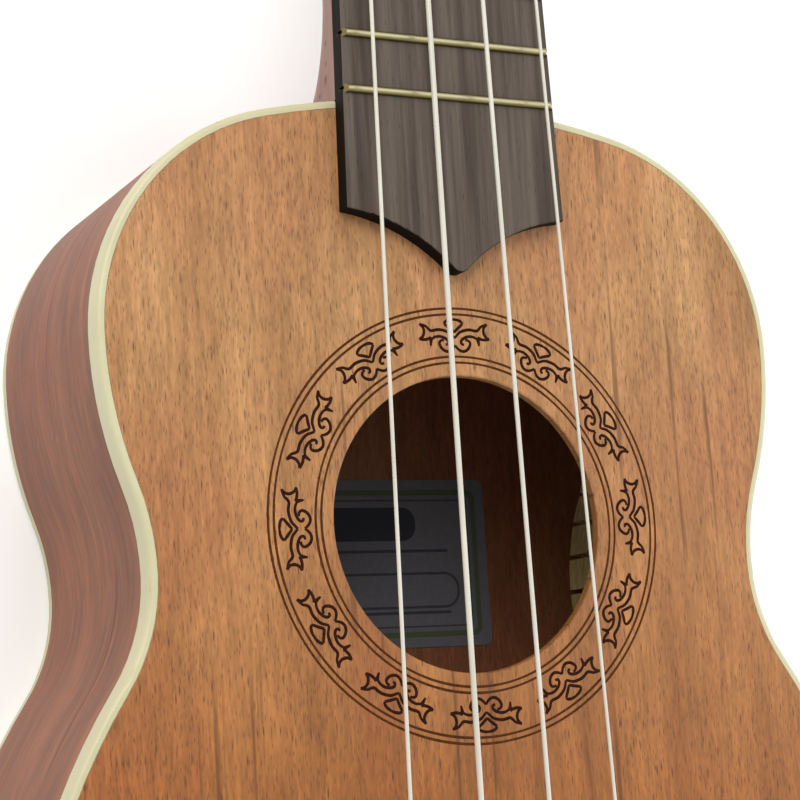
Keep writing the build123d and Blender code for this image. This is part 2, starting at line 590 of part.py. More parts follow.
# ------------------------------------------------------------------ tuning machines
# Drawn in a local frame: Z up along the post from the headstock's underside, X outwards to the button.
GEAR_PITCH_RADIUS = GEAR_TEETH * WORM_LEAD / (2 * pi)
GEAR_TIP, GEAR_ROOT = GEAR_PITCH_RADIUS + 0.45, GEAR_PITCH_RADIUS - 0.75
GEAR_THICKNESS = 2.4
GEAR_Z = -4.0               # middle of the gear and of the worm
WORM_Y = GEAR_PITCH_RADIUS + WORM_PITCH_RADIUS
WORM_ROOT, WORM_TIP = 1.5, 2.7
WORM_TURNS = 5
BASE = 1.0                  # plate thickness
EAR_INNER, EAR_THICKNESS, EAR_DROP = 6.4, 1.3, 7.6
SHAFT_RADIUS = 1.4
HUB_RADIUS = 2.0            # square end of the post, through the gear
POST_TOP = HEAD_THICKNESS + 12.0
STRING_HOLE_HEIGHT = 9.6    # above the headstock's face
BUTTON_START = 13.0


def gear_face():
    """Outline of the gear: a root circle with narrow teeth, one of them pointing along +Y."""
    points = []
    for tooth in range(GEAR_TEETH):
        middle = 90 + tooth * 360 / GEAR_TEETH
        for radius, offset in ((GEAR_ROOT, -7.4), (GEAR_TIP, -2.6), (GEAR_TIP, 2.6), (GEAR_ROOT, 7.4)):
            angle = radians(middle + offset)
            points.append((radius * cos(angle), radius * sin(angle)))
    return make_face(Polyline(*points, close=True))


def make_gear():
    """The worm gear, bored to sit on the post's end."""
    gear = prism(gear_face(), GEAR_Z - GEAR_THICKNESS / 2, GEAR_Z + GEAR_THICKNESS / 2)
    return gear - Pos(0, 0, GEAR_Z) * Cylinder(HUB_RADIUS, 3 * GEAR_THICKNESS)


def make_post():
    """The post: shoulder above the gear, waisted string zone, cross hole and rounded top."""
    shoulder = GEAR_Z + GEAR_THICKNESS / 2
    post = rod(POST_RADIUS, (0, 0, shoulder), (0, 0, POST_TOP))
    post = fillet(post.edges().sort_by(Axis.Z)[-1], 0.8)
    post += rod(HUB_RADIUS, (0, 0, GEAR_Z - GEAR_THICKNESS / 2), (0, 0, shoulder))
    post -= rod(1.0, (0, 0, GEAR_Z - GEAR_THICKNESS), (0, 0, 1.0))
    hole_z = HEAD_THICKNESS + STRING_HOLE_HEIGHT
    return post - rod(0.7, (-2 * POST_RADIUS, 0, hole_z), (2 * POST_RADIUS, 0, hole_z))


def make_gear_screw():
    """The screw that holds the gear on the post."""
    face = GEAR_Z - GEAR_THICKNESS / 2
    head = Pos(0, 0, face - 0.6) * Cylinder(2.6, 1.2)
    head = fillet(head.edges().sort_by(Axis.Z)[0], 0.5)
    head -= block(-3, 3, -0.3, 0.3, face - 1.3, face - 0.7)
    return head + rod(1.0, (0, 0, face), (0, 0, face + 4.5))


def make_worm_shaft():
    """The worm and its shaft, from the inner ear to the button's end."""
    axis = Plane(origin=(-WORM_TURNS * WORM_LEAD / 2, WORM_Y, GEAR_Z), x_dir=(0, -1, 0), z_dir=(1, 0, 0))
    helix = Helix(WORM_LEAD, WORM_TURNS * WORM_LEAD, WORM_ROOT)
    buried = 0.25
    profile = Polyline((-buried, -0.5), (WORM_TIP - WORM_ROOT, -0.24), (WORM_TIP - WORM_ROOT, 0.24),
                       (-buried, 0.5), close=True)
    section = Plane(origin=(WORM_ROOT, 0, 0), x_dir=(1, 0, 0), z_dir=(0, -1, 0)) * make_face(profile)
    thread = sweep(section, path=helix, is_frenet=True)
    half = WORM_TURNS * WORM_LEAD / 2 + 0.9
    core = rod(WORM_ROOT, (-half, WORM_Y, GEAR_Z), (half, WORM_Y, GEAR_Z))
    shaft = rod(SHAFT_RADIUS, (-EAR_INNER - EAR_THICKNESS - 0.5, WORM_Y, GEAR_Z),
                (BUTTON_START + 6.0, WORM_Y, GEAR_Z))
    collar = rod(2.3, (EAR_INNER + EAR_THICKNESS + 0.15, WORM_Y, GEAR_Z), (BUTTON_START, WORM_Y, GEAR_Z))
    return core + shaft + collar + axis * thread


def make_button():
    """The finger button: a flattened oval with a neck, bored for the shaft's end."""
    length, height, thick = 15.0, 18.0, 8.0
    middle = BUTTON_START + 3.0 + length / 2
    oval = Plane(origin=(middle, WORM_Y, GEAR_Z), x_dir=(1, 0, 0), z_dir=(0, 0, 1)) * Ellipse(length / 2, height / 2)
    knob = extrude(oval, amount=thick / 2, both=True)
    knob = fillet(knob.edges().filter_by(GeomType.ELLIPSE), 3.2)
    neck = rod(2.9, (BUTTON_START, WORM_Y, GEAR_Z), (BUTTON_START + 6, WORM_Y, GEAR_Z))
    return (knob + neck) - rod(SHAFT_RADIUS, (BUTTON_START - 1, WORM_Y, GEAR_Z),
                               (BUTTON_START + 6.0, WORM_Y, GEAR_Z))


def make_plate():
    """The machine's base plate with two ears that carry the worm shaft."""
    plate = block(-EAR_INNER - EAR_THICKNESS, EAR_INNER + EAR_THICKNESS, -12.5, 16.5, -BASE, 0)
    plate = fillet(plate.edges().filter_by(Axis.Z), 2.0)
    for side in (-1, 1):
        inner, outer = sorted((side * EAR_INNER, side * (EAR_INNER + EAR_THICKNESS)))
        ear = block(inner, outer, WORM_Y - 3.0, WORM_Y + 3.0, -EAR_DROP, -BASE)
        lower = [e for e in ear.edges().filter_by(Axis.X) if (e @ 0.5).Z < -EAR_DROP + 0.1]
        plate += fillet(lower, 2.4)
    plate -= Cylinder(POST_RADIUS + RUNNING_FIT, 6 * BASE)
    plate -= rod(SHAFT_RADIUS + RUNNING_FIT, (-20, WORM_Y, GEAR_Z), (20, WORM_Y, GEAR_Z))
    for sx, sy in PLATE_SCREW_SPOTS:
        plate -= Pos(sx, sy, 0) * Cylinder(SCREW_RADIUS, 6 * BASE)
    return plate


def make_bushing():
    """A flanged sleeve pressed into the headstock's face."""
    sleeve = rod(BUSHING_RADIUS, (0, 0, HEAD_THICKNESS - 8), (0, 0, HEAD_THICKNESS))
    flange = rod(5.4, (0, 0, HEAD_THICKNESS), (0, 0, HEAD_THICKNESS + 1.3))
    flange = chamfer(flange.edges().sort_by(Axis.Z)[-1], 0.6)
    return (sleeve + flange) - rod(POST_RADIUS + RUNNING_FIT, (0, 0, 0), (0, 0, 3 * HEAD_THICKNESS))


def make_plate_screw(spot):
    """A small round-headed wood screw under the plate."""
    sx, sy = spot
    head = Pos(sx, sy, -BASE - 0.55) * Cylinder(1.8, 1.1)
    head = fillet(head.edges().sort_by(Axis.Z)[0], 0.6)
    head -= block(sx - 2, sx + 2, sy - 0.22, sy + 0.22, -BASE - 1.3, -BASE - 0.7)
    return head + rod(SCREW_RADIUS, (sx, sy, -BASE), (sx, sy, SCREW_LENGTH - 1.5))


def make_machines():
    """Four tuning machines, those on the bass side mirrored."""
    drawn = {
        "tuner_plate": make_plate(), "tuner_post": make_post(), "tuner_gear": make_gear(),
        "gear_screw": make_gear_screw(), "worm_shaft": make_worm_shaft(), "tuner_button": make_button(),
    }
    shared = {"bushings": [make_bushing()],
              "plate_screws": [make_plate_screw(spot) for spot in PLATE_SCREW_SPOTS]}
    gathered = {name: [] for name in shared}
    for name, side, along in post_spots():
        place = HEAD_PLANE * Pos(side * POST_SIDEWAYS, along, -HEAD_THICKNESS)
        for part, shape in drawn.items():
            sided = shape if side > 0 else mirror(shape, about=Plane.YZ)
            parts[f"{part}_{name}"] = place * sided
        for part, shapes in shared.items():
            gathered[part] += [solid for shape in shapes for solid in (place * shape).solids()]
    for part, solids in gathered.items():
        parts[part] = Compound(solids)


# ------------------------------------------------------------------ build and write
for make in (make_plates, make_bindings, make_sides, make_blocks, make_linings, make_braces, make_label,
             make_neck, make_fretboard, make_bridge, make_strings, make_nut, make_saddle, make_machines):
    make()

os.makedirs("parts", exist_ok=True)
for node, shape in parts.items():
    export_step(shape, f"parts/{node}.step")
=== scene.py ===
import math

import bpy
from mathutils import Matrix, Vector


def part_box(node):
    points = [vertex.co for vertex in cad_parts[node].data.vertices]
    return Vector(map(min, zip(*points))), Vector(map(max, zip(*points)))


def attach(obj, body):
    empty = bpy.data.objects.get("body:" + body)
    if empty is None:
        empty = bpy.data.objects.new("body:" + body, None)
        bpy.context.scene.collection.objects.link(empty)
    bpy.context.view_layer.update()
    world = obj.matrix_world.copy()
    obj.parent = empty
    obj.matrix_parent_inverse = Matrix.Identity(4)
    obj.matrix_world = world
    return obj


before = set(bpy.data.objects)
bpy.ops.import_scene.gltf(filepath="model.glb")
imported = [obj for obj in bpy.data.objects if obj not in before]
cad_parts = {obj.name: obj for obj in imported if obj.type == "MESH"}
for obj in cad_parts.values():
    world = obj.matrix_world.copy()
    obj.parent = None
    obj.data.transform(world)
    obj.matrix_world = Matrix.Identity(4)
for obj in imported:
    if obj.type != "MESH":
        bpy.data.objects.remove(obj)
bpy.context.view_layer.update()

# ------------------------------------------------------------------ places, in metres, from the frame
MM = 0.001
TOP_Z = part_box("top_plate")[1].z
LABEL_LOW, LABEL_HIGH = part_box("label")
BOARD_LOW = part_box("fretboard")[0]
STRING_NAMES = ("g", "c", "e", "a")
SAME_HEIGHT = 1e-6          # vertices this near to a height lie on it
SEARCH_HALF_WIDTH = 30 * MM
SEARCH_LENGTH = 100 * MM    # the hole lies within this distance of the fretboard's end


def hole_centre():
    """Centre and radius of the sound hole, from the soundboard's inner rim."""
    rim = []
    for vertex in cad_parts["top_plate"].data.vertices:
        spot = vertex.co
        beside_axis = abs(spot.x) < SEARCH_HALF_WIDTH
        below_board = BOARD_LOW.y - SEARCH_LENGTH < spot.y < BOARD_LOW.y
        if spot.z > TOP_Z - SAME_HEIGHT and beside_axis and below_board:
            rim.append(spot.y)
    return Vector((0, (min(rim) + max(rim)) / 2, TOP_Z)), (max(rim) - min(rim)) / 2


HOLE, HOLE_RADIUS = hole_centre()


# ------------------------------------------------------------------ node material helpers
def new_material(name):
    """A node material with its default shader: returns the material, its node tree and its shader."""
    material = bpy.data.materials.new(name)
    material.use_nodes = True
    tree = material.node_tree
    return material, tree, tree.nodes["Principled BSDF"]


def coordinates(tree, scale=(1, 1, 1), shift=(0, 0, 0)):
    """Object coordinates, scaled; a small scale along an axis stretches the pattern along it."""
    place = tree.nodes.new("ShaderNodeTexCoord")
    mapping = tree.nodes.new("ShaderNodeMapping")
    mapping.inputs["Scale"].default_value = scale
    mapping.inputs["Location"].default_value = shift
    tree.links.new(place.outputs["Object"], mapping.inputs["Vector"])
    return mapping.outputs["Vector"]


def noise(tree, vector, scale, detail=4.0, roughness=0.5, distortion=0.0):
    """A noise texture's value."""
    node = tree.nodes.new("ShaderNodeTexNoise")
    node.inputs["Scale"].default_value = scale
    node.inputs["Detail"].default_value = detail
    node.inputs["Roughness"].default_value = roughness
    node.inputs["Distortion"].default_value = distortion
    tree.links.new(vector, node.inputs["Vector"])
    return node.outputs["Fac"]


def voronoi(tree, vector, scale, flat=False):
    """Distance to the nearest cell point, and a random value for that cell."""
    node = tree.nodes.new("ShaderNodeTexVoronoi")
    node.voronoi_dimensions = "2D" if flat else "3D"
    node.inputs["Scale"].default_value = scale
    tree.links.new(vector, node.inputs["Vector"])
    split = tree.nodes.new("ShaderNodeSeparateColor")
    tree.links.new(node.outputs["Color"], split.inputs["Color"])
    return node.outputs["Distance"], split.outputs["Red"]


def ramp(tree, value, *stops):
    """A colour ramp; each stop is a position and a grey value or a colour."""
    node = tree.nodes.new("ShaderNodeValToRGB")
    elements = node.color_ramp.elements
    while len(elements) < len(stops):
        elements.new(0.5)
    for element, (position, colour) in zip(elements, stops):
        element.position = position
        if isinstance(colour, (int, float)):
            colour = (colour, colour, colour)
        element.color = (*colour[:3], 1.0)
    tree.links.new(value, node.inputs["Fac"])
    return node.outputs["Color"]


def mix(tree, factor, first, second, blend="MIX"):
    """Mixes two colours; a factor or colour is a socket or a plain value."""
    node = tree.nodes.new("ShaderNodeMix")
    node.data_type = "RGBA"
    node.blend_type = blend
    for socket, value in (("Factor_Float", factor), ("A_Color", first), ("B_Color", second)):
        entry = next(s for s in node.inputs if s.identifier == socket)
        if isinstance(value, bpy.types.NodeSocket):
            tree.links.new(value, entry)
        elif isinstance(value, (int, float)):
            entry.default_value = value
        else:
            entry.default_value = (*value[:3], 1.0)
    return next(s for s in node.outputs if s.identifier == "Result_Color")


def maths(tree, operation, first, second=0.0, clamp=False):
    """A maths node on sockets or plain values."""
    node = tree.nodes.new("ShaderNodeMath")
    node.operation = operation
    node.use_clamp = clamp
    for number, value in enumerate((first, second)):
        if isinstance(value, bpy.types.NodeSocket):
            tree.links.new(value, node.inputs[number])
        else:
            node.inputs[number].default_value = value
    return node.outputs[0]


def separate(tree, vector):
    """The X, Y and Z outputs of a vector."""
    node = tree.nodes.new("ShaderNodeSeparateXYZ")
    tree.links.new(vector, node.inputs["Vector"])
    return node.outputs


def upward(tree):
    """How far the object's own surface looks up: its normal's Z."""
    place = tree.nodes.new("ShaderNodeTexCoord")
    return separate(tree, place.outputs["Normal"])["Z"]


def facing_up(tree):
    """One on faces whose own normal points up, nought on the rest."""
    return ramp(tree, upward(tree), (0.5, 0), (0.8, 1))


def bump(tree, shader, height, distance, strength):
    """Adds a height to the shader's normal, distance in metres."""
    node = tree.nodes.new("ShaderNodeBump")
    node.inputs["Distance"].default_value = distance
    node.inputs["Strength"].default_value = strength
    tree.links.new(height, node.inputs["Height"])
    tree.links.new(node.outputs["Normal"], shader.inputs["Normal"])


def finish(tree, shader, colour, roughness, **constants):
    """Links or sets colour and roughness, and sets constant inputs, such as coat_weight for Coat Weight."""
    if isinstance(colour, bpy.types.NodeSocket):
        tree.links.new(colour, shader.inputs["Base Color"])
    else:
        shader.inputs["Base Color"].default_value = (*colour, 1.0)
    if isinstance(roughness, bpy.types.NodeSocket):
        tree.links.new(roughness, shader.inputs["Roughness"])
    else:
        shader.inputs["Roughness"].default_value = roughness
    for name, value in constants.items():
        title = name.replace("_", " ").title().replace("Ior", "IOR")
        shader.inputs[title].default_value = value


# ------------------------------------------------------------------ materials
def along_grain(grain, stretch):
    """Mapping scale that stretches a pattern along the fibres by a factor; "ring" follows a bent side."""
    short = 1 / stretch
    return {"Y": (1, short, 1), "X": (short, 1, 1), "ring": (short, short, 1)}[grain]


def dashes(tree, grain, spacing, aspect, radius, share):
    """Short dashes along the grain: spacing and radius in mm, and the share of cells that hold one."""
    place = coordinates(tree, along_grain(grain, aspect), shift=(0.013 * aspect, 0.007 * aspect, 0.003))
    distance, chance = voronoi(tree, place, 1 / (spacing * MM), flat=grain != "ring")
    ragged = noise(tree, place, 5 / (spacing * MM), detail=1)
    distance = maths(tree, "ADD", distance, maths(tree, "MULTIPLY", ragged, 0.6 * radius / spacing))
    shape = ramp(tree, distance, (0.7 * radius / spacing, 1), (1.6 * radius / spacing, 0))
    return maths(tree, "MULTIPLY", shape, maths(tree, "LESS_THAN", chance, share))


def wavy(tree, grain, stretch, shift=(0, 0, 0)):
    """Coordinates along the grain whose fibres wander sideways a little."""
    straight = coordinates(tree, along_grain(grain, stretch), shift=shift)
    bend = noise(tree, coordinates(tree, along_grain(grain, 3), shift=(0.8, 0.3, 0.6)), 45, detail=2)
    push = tree.nodes.new("ShaderNodeVectorMath")
    push.operation = "MULTIPLY_ADD"
    for number, value in ((0, bend), (2, straight)):
        tree.links.new(value, push.inputs[number])
    push.inputs[1].default_value = (3 * MM, 0, 3 * MM) if grain == "Y" else (0, 0, 3 * MM)
    return push.outputs["Vector"]


def wood_ground(tree, grain, light, dark, red, contrast):
    """Zones of light, dark and red tone under soft streaks and fine fibres: returns colour and fibres."""
    zones = noise(tree, wavy(tree, grain, 7, (0.7, 0.2, 0.1)), 95, detail=4, roughness=0.6, distortion=0.2)
    colour = mix(tree, ramp(tree, zones, (0.36, 0), (0.62, 1)), light, dark)
    hue = noise(tree, coordinates(tree, along_grain(grain, 2.5), shift=(0.3, 0.9, 0.4)), 48, detail=3)
    colour = mix(tree, ramp(tree, hue, (0.45, 0), (0.62, 0.75)), colour, red)
    spread = 0.20 * contrast
    streaks = noise(tree, wavy(tree, grain, 10), 700, detail=4, roughness=0.65)
    colour = mix(tree, 1.0, colour, ramp(tree, streaks, (0.3, 1 - spread), (0.7, 1 + spread)), "MULTIPLY")
    fibres = noise(tree, wavy(tree, grain, 6, (0.2, 0.1, 0.6)), 2300, detail=2, roughness=0.6)
    colour = mix(tree, 1.0, colour, ramp(tree, fibres, (0.28, 1 - spread), (0.72, 1 + spread)), "MULTIPLY")
    return colour, fibres


def wood_pores(tree, grain, share):
    """Short pores of two sizes, crowded in some places and darker in some."""
    crowd = noise(tree, coordinates(tree, along_grain(grain, 6), shift=(0.1, 0.6, 0.2)), 150, detail=3)
    crowd = ramp(tree, crowd, (0.34, 0.25 * share), (0.60, share))
    large = dashes(tree, grain, 1.1, 7, 0.15, crowd)
    small = dashes(tree, grain, 0.55, 7, 0.075, crowd)
    tone = noise(tree, coordinates(tree, shift=(0.4, 0.4, 0.4)), 420, detail=1)
    large = maths(tree, "MULTIPLY", large, ramp(tree, tone, (0.35, 0.25), (0.66, 0.85)))
    return maths(tree, "MAXIMUM", large, maths(tree, "MULTIPLY", small, 0.7))


def wood_lines(tree, grain, strength):
    """A few long dark lines along the grain, each in a patch of its own."""
    rows = noise(tree, wavy(tree, grain, 110, (0.4955, 0.40064, 0.3)), 420, detail=2, roughness=0.65)
    patch = noise(tree, coordinates(tree, along_grain(grain, 4), shift=(0.8955, 0.1175, 0.5)), 48, detail=2)
    rows = ramp(tree, rows, (0.59, 0), (0.66, strength))
    return maths(tree, "MULTIPLY", rows, ramp(tree, patch, (0.5, 0), (0.58, 1)))


def tail_shade_ramp(tree):
    """Nought above the sound hole, growing to one below it: the mask of the painted shade towards the tail.
    """
    start, end = HOLE.y + 40 * MM, HOLE.y - 60 * MM
    place = separate(tree, coordinates(tree))["Y"]
    return maths(tree, "DIVIDE", maths(tree, "SUBTRACT", start, place), start - end, clamp=True)


def wood(name, light, dark, red, pore, grain="Y", pores=1.0, lines=0.6, contrast=1.0, roughness=0.46,
         coat=0.12, tail_shade=None, inside=None):
    """Mahogany-like wood: a toned ground with short dark pores and a few long lines.

    The tail tint grows towards the tail: painted shade, darker and more orange where the light falls off.
    The inside tint darkens faces that look up into the body: painted shade inside the body."""
    material, tree, shader = new_material(name)
    colour, fibres = wood_ground(tree, grain, light, dark, red, contrast)
    marks = maths(tree, "MAXIMUM", wood_pores(tree, grain, pores), wood_lines(tree, grain, lines))
    colour = mix(tree, marks, colour, pore)
    # Painted shade: the wood grows darker and more orange towards the tail, where the light falls off.
    if tail_shade:
        colour = mix(tree, tail_shade_ramp(tree), colour, mix(tree, 1.0, colour, tail_shade, "MULTIPLY"))
    # Painted shade: faces that look up into the body, such as the back's inner face, are painted darker.
    if inside:
        colour = mix(tree, facing_up(tree), colour, mix(tree, 1.0, colour, inside, "MULTIPLY"))

    gloss = ramp(tree, fibres, (0.3, roughness - 0.06), (0.7, roughness + 0.08))
    gloss = mix(tree, marks, gloss, (0.75, 0.75, 0.75))
    finish(tree, shader, colour, gloss, coat_weight=coat, coat_roughness=0.3, specular_ior_level=0.3)
    height = mix(tree, marks, ramp(tree, fibres, (0.2, 0.8), (0.8, 1.0)), (0, 0, 0))
    bump(tree, shader, height, 0.05 * MM, 0.4)
    return material


def binding_material():
    """Cream strip with faint long shade variation and a satin polish."""
    material, tree, shader = new_material("binding_cream")
    cloud = noise(tree, coordinates(tree), 60, detail=3)
    colour = mix(tree, ramp(tree, cloud, (0.35, 0), (0.7, 1)), (0.47, 0.44, 0.27), (0.42, 0.39, 0.23))
    fine = noise(tree, coordinates(tree, (1, 1, 6)), 700, detail=3)
    colour = mix(tree, 1.0, colour, ramp(tree, fine, (0.3, 0.98), (0.7, 1.02)), "MULTIPLY")
    finish(tree, shader, colour, ramp(tree, fine, (0.3, 0.40), (0.7, 0.44)),
           subsurface_weight=0.1, subsurface_scale=0.6 * MM, coat_weight=0.15, coat_roughness=0.25)
    bump(tree, shader, fine, 0.02 * MM, 0.3)
    return material


def dark_wood(name, light, dark, edge, grain="Y"):
    """Oiled rosewood: dark ground, long soft streaks and open pores; faces that don't look up are painted
    near black as shade.
    """
    material, tree, shader = new_material(name)
    bands = noise(tree, coordinates(tree, along_grain(grain, 45), shift=(0.17, 0.2, 0.1)), 230, detail=3,
                  roughness=0.5, distortion=0.1)
    colour = mix(tree, ramp(tree, bands, (0.38, 0), (0.50, 0.85), (0.66, 1)), dark, light)
    streaks = noise(tree, coordinates(tree, along_grain(grain, 40), shift=(0.3, 0.5, 0.2)), 800, detail=3,
                    roughness=0.6)
    colour = mix(tree, 1.0, colour, ramp(tree, streaks, (0.28, 0.72), (0.72, 1.26)), "MULTIPLY")
    fine = noise(tree, coordinates(tree, along_grain(grain, 25)), 2600, detail=3, roughness=0.7)
    colour = mix(tree, 1.0, colour, ramp(tree, fine, (0.28, 0.84), (0.72, 1.14)), "MULTIPLY")
    mask = maths(tree, "MULTIPLY", dashes(tree, grain, 0.9, 11, 0.06, 0.6), 0.55)
    colour = mix(tree, mask, colour, edge)
    # Painted shade: the sides and ends, which don't look up, take the near-black edge colour, which the
    # pores also use.
    colour = mix(tree, facing_up(tree), edge, colour)
    finish(tree, shader, colour, ramp(tree, fine, (0.25, 0.52), (0.75, 0.68)), specular_ior_level=0.07)
    bump(tree, shader, mix(tree, mask, (1, 1, 1), (0, 0, 0)), 0.06 * MM, 0.5)
    return material


def metal(name, tint, roughness):
    """Plated or turned metal with fine tool marks, faint stains and softly worn gloss."""
    material, tree, shader = new_material(name)
    marks = noise(tree, coordinates(tree), 2600, detail=3)
    stains = noise(tree, coordinates(tree), 320, detail=4, roughness=0.6)
    dull = tuple(0.72 * c for c in tint)
    colour = mix(tree, ramp(tree, stains, (0.5, 0), (0.75, 0.25)), tint, dull)
    gloss = mix(tree, 0.5, ramp(tree, marks, (0.3, roughness - 0.06), (0.7, roughness + 0.1)),
                ramp(tree, stains, (0.35, roughness - 0.04), (0.7, roughness + 0.14)))
    finish(tree, shader, colour, gloss, metallic=1.0)
    bump(tree, shader, marks, 0.004 * MM, 0.3)
    return material


def fret_material():
    """Brass fret wire: a painted highlight on the pale crown and painted shade on the darker flanks, told
    apart by the surface's own slope.
    """
    material, tree, shader = new_material("fret_metal")
    # Painted highlight and shade: the crown, which looks up, is pale, and the sloping flanks are dark olive.
    colour = ramp(tree, upward(tree), (0.70, (0.20, 0.165, 0.065)), (0.93, (0.36, 0.31, 0.14)),
                  (0.99, (0.66, 0.61, 0.40)))
    marks = noise(tree, coordinates(tree, (0.1, 1, 1)), 2600, detail=3)
    colour = mix(tree, 1.0, colour, ramp(tree, marks, (0.3, 0.93), (0.7, 1.05)), "MULTIPLY")
    finish(tree, shader, colour, ramp(tree, marks, (0.3, 0.24), (0.7, 0.36)), metallic=1.0)
    bump(tree, shader, marks, 0.004 * MM, 0.3)
    return material


def string_material():
    """Clear nylon gone ivory: light passes into it a little way, with a smooth sheen."""
    material, tree, shader = new_material("string_nylon")
    cloud = noise(tree, coordinates(tree, (1, 0.1, 1)), 500, detail=2)
    colour = ramp(tree, cloud, (0.3, (0.47, 0.455, 0.385)), (0.7, (0.54, 0.525, 0.455)))
    fine = noise(tree, coordinates(tree, (1, 0.05, 1)), 3500, detail=2)
    finish(tree, shader, colour, ramp(tree, fine, (0.3, 0.24), (0.7, 0.36)),
           subsurface_weight=0.25, subsurface_scale=0.5 * MM, ior=1.5)
    bump(tree, shader, fine, 0.01 * MM, 0.2)
    return material


def bone_material():
    """Bone-like nut and saddle with faint pale veins."""
    material, tree, shader = new_material("bone")
    veins = noise(tree, coordinates(tree, (0.1, 1, 1)), 900, detail=4, roughness=0.6)
    colour = ramp(tree, veins, (0.3, (0.52, 0.49, 0.40)), (0.7, (0.60, 0.575, 0.50)))
    finish(tree, shader, colour, ramp(tree, veins, (0.3, 0.3), (0.7, 0.42)),
           subsurface_weight=0.2, subsurface_scale=1.2 * MM)
    bump(tree, shader, veins, 0.02 * MM, 0.3)
    return material


def pearl_material(name, scale):
    """Pearloid: soft clouds of cool and warm white with a clear top coat."""
    material, tree, shader = new_material(name)
    cells, shade = voronoi(tree, coordinates(tree), scale)
    waves = noise(tree, coordinates(tree), scale * 0.8, detail=3, distortion=1.5)
    colour = ramp(tree, waves, (0.3, (0.44, 0.42, 0.38)), (0.5, (0.60, 0.58, 0.54)),
                  (0.7, (0.52, 0.55, 0.57)))
    colour = mix(tree, 0.6, colour, ramp(tree, shade, (0.0, 0.8), (1.0, 1.1)), "MULTIPLY")
    finish(tree, shader, colour, ramp(tree, cells, (0.1, 0.2), (0.6, 0.34)),
           coat_weight=0.6, coat_roughness=0.08)
    bump(tree, shader, waves, 0.03 * MM, 0.15)
    return material


def burnt_material(name, dark, light):
    """Wood scorched by a fine hot tip: dark brown, matt, uneven."""
    material, tree, shader = new_material(name)
    uneven = noise(tree, coordinates(tree), 1400, detail=3, roughness=0.7)
    colour = ramp(tree, uneven, (0.3, dark), (0.75, light))
    finish(tree, shader, colour, ramp(tree, uneven, (0.3, 0.75), (0.7, 0.95)), specular_ior_level=0.05)
    bump(tree, shader, uneven, 0.03 * MM, 0.5)
    return material


def box_distance(tree, place, centre, half, corner):
    """Distance in mm outside a flat box with round corners; it is below nought within the box."""
    reach = []
    for axis, middle, side in zip("XY", centre, half):
        offset = maths(tree, "ABSOLUTE", maths(tree, "SUBTRACT", place[axis], middle))
        offset = maths(tree, "MULTIPLY", offset, 1 / MM)
        reach.append(maths(tree, "MAXIMUM", maths(tree, "SUBTRACT", offset, side / MM - corner), 0.0))
    squares = [maths(tree, "POWER", r, 2.0) for r in reach]
    length = maths(tree, "SQRT", maths(tree, "ADD", *squares))
    return maths(tree, "SUBTRACT", length, corner)


def ink_line(tree, colour, distance, width, ink):
    """Inks a line of a width in mm where a distance is near nought."""
    near = maths(tree, "LESS_THAN", maths(tree, "ABSOLUTE", distance), width / 2)
    return mix(tree, near, colour, ink)


def ink_area(tree, colour, distance, ink):
    """Inks the inside of a box."""
    return mix(tree, maths(tree, "LESS_THAN", distance, 0.0), colour, ink)


def label_material():
    """Printed paper label: two border lines, a dark panel, a rounded bar and rules, with no lettering."""
    material, tree, shader = new_material("label_print")
    paper = noise(tree, coordinates(tree), 900, detail=5, roughness=0.7)
    # The paper is painted far darker than paper is, and the inks with it: painted shade inside the body.
    colour = ramp(tree, paper, (0.3, (0.112, 0.108, 0.118)), (0.7, (0.140, 0.135, 0.146)))
    ink, green, dark = (0.050, 0.047, 0.056), (0.072, 0.092, 0.050), (0.036, 0.035, 0.042)
    place = separate(tree, coordinates(tree))
    middle = (LABEL_LOW + LABEL_HIGH) / 2
    half = (LABEL_HIGH - LABEL_LOW) / 2

    for inset, corner, width, tone in ((2.6, 1.6, 1.1, green), (4.2, 1.0, 0.3, ink)):
        size = (half.x - inset * MM, half.y - inset * MM)
        border = box_distance(tree, place, (middle.x, middle.y), size, corner)
        colour = ink_line(tree, colour, border, width, tone)
    bar_middle = (middle.x, LABEL_LOW.y + 11.5 * MM)
    bar = box_distance(tree, place, bar_middle, (half.x - 7 * MM, 3.4 * MM), 3.2)
    colour = ink_line(tree, colour, bar, 0.5, ink)
    for height in (7.0, 19.5):
        rule_middle = (middle.x, LABEL_LOW.y + height * MM)
        rule = box_distance(tree, place, rule_middle, (half.x - 9 * MM, 0.3 * MM), 0.1)
        colour = ink_area(tree, colour, rule, ink)
    panel_middle = (middle.x - 4 * MM, LABEL_LOW.y + 25.0 * MM)
    panel = box_distance(tree, place, panel_middle, (half.x - 12 * MM, 3.4 * MM), 3.0)
    colour = ink_area(tree, colour, panel, dark)
    finish(tree, shader, colour, ramp(tree, paper, (0.3, 0.75), (0.7, 0.9)), specular_ior_level=0.2)
    bump(tree, shader, paper, 0.03 * MM, 0.5)
    return material


def glue_material():
    """The thin dark line where a strip meets the wood."""
    material, tree, shader = new_material("glue_line")
    uneven = noise(tree, coordinates(tree), 800, detail=3)
    colour = ramp(tree, uneven, (0.3, (0.16, 0.10, 0.045)), (0.7, (0.30, 0.20, 0.09)))
    finish(tree, shader, colour, ramp(tree, uneven, (0.3, 0.45), (0.7, 0.6)))
    return material


def paint(material, *nodes):
    """Gives CAD nodes a material in place of their own."""
    for node in nodes:
        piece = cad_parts[node]
        if not piece.material_slots:
            piece.data.materials.append(material)
        for place in piece.material_slots:
            place.material = material


def each(prefix):
    """The four nodes of one kind, one for each string."""
    return [f"{prefix}_{name}" for name in STRING_NAMES]


